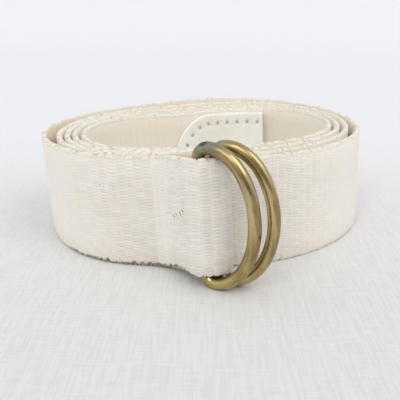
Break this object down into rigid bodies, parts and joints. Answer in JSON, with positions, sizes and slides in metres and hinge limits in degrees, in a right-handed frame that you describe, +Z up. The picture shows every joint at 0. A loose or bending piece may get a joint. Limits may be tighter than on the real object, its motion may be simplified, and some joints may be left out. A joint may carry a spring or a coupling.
{
  "type": "webbing belt with D-rings",
  "caption": "Natural cotton webbing belt rolled into an oval coil on its edge, with a pair of brass D-rings in its sewn loop and a folded leather tab on its end.",
  "frame": {"origin": "on the surface that the belt rests on, under the middle of its box", "axes": "+Z up across the webbing's width, -Y towards the side with the rings, +X right as seen from that side"},
  "size_m": [0.1064, 0.105, 0.039],
  "materials": {
    "webbing": "matte natural cotton, tightly woven, with ribs across the width",
    "leather": "smooth white, low sheen",
    "brass": "aged and scratched, with a little green tarnish"
  },
  "bodies": {
    "belt": {"webbing_strap": "webbing", "end_tab": "leather"},
    "front_ring": {"d_ring_front": "brass"},
    "rear_ring": {"d_ring_rear": "brass"}
  },
  "joints": [
    {"name": "front_ring_swing", "type": "hinge", "parent": "belt", "child": "front_ring", "pos_m": [-0.00267, -0.04322, 0.01932], "axis": [-0.0669, 0, 0.9978], "range_deg": [-120, 0]},
    {"name": "rear_ring_swing", "type": "hinge", "parent": "belt", "child": "rear_ring", "pos_m": [0.00148, -0.04142, 0.01931], "axis": [-0.0669, 0, 0.9978], "range_deg": [0, 38]}
  ]
}
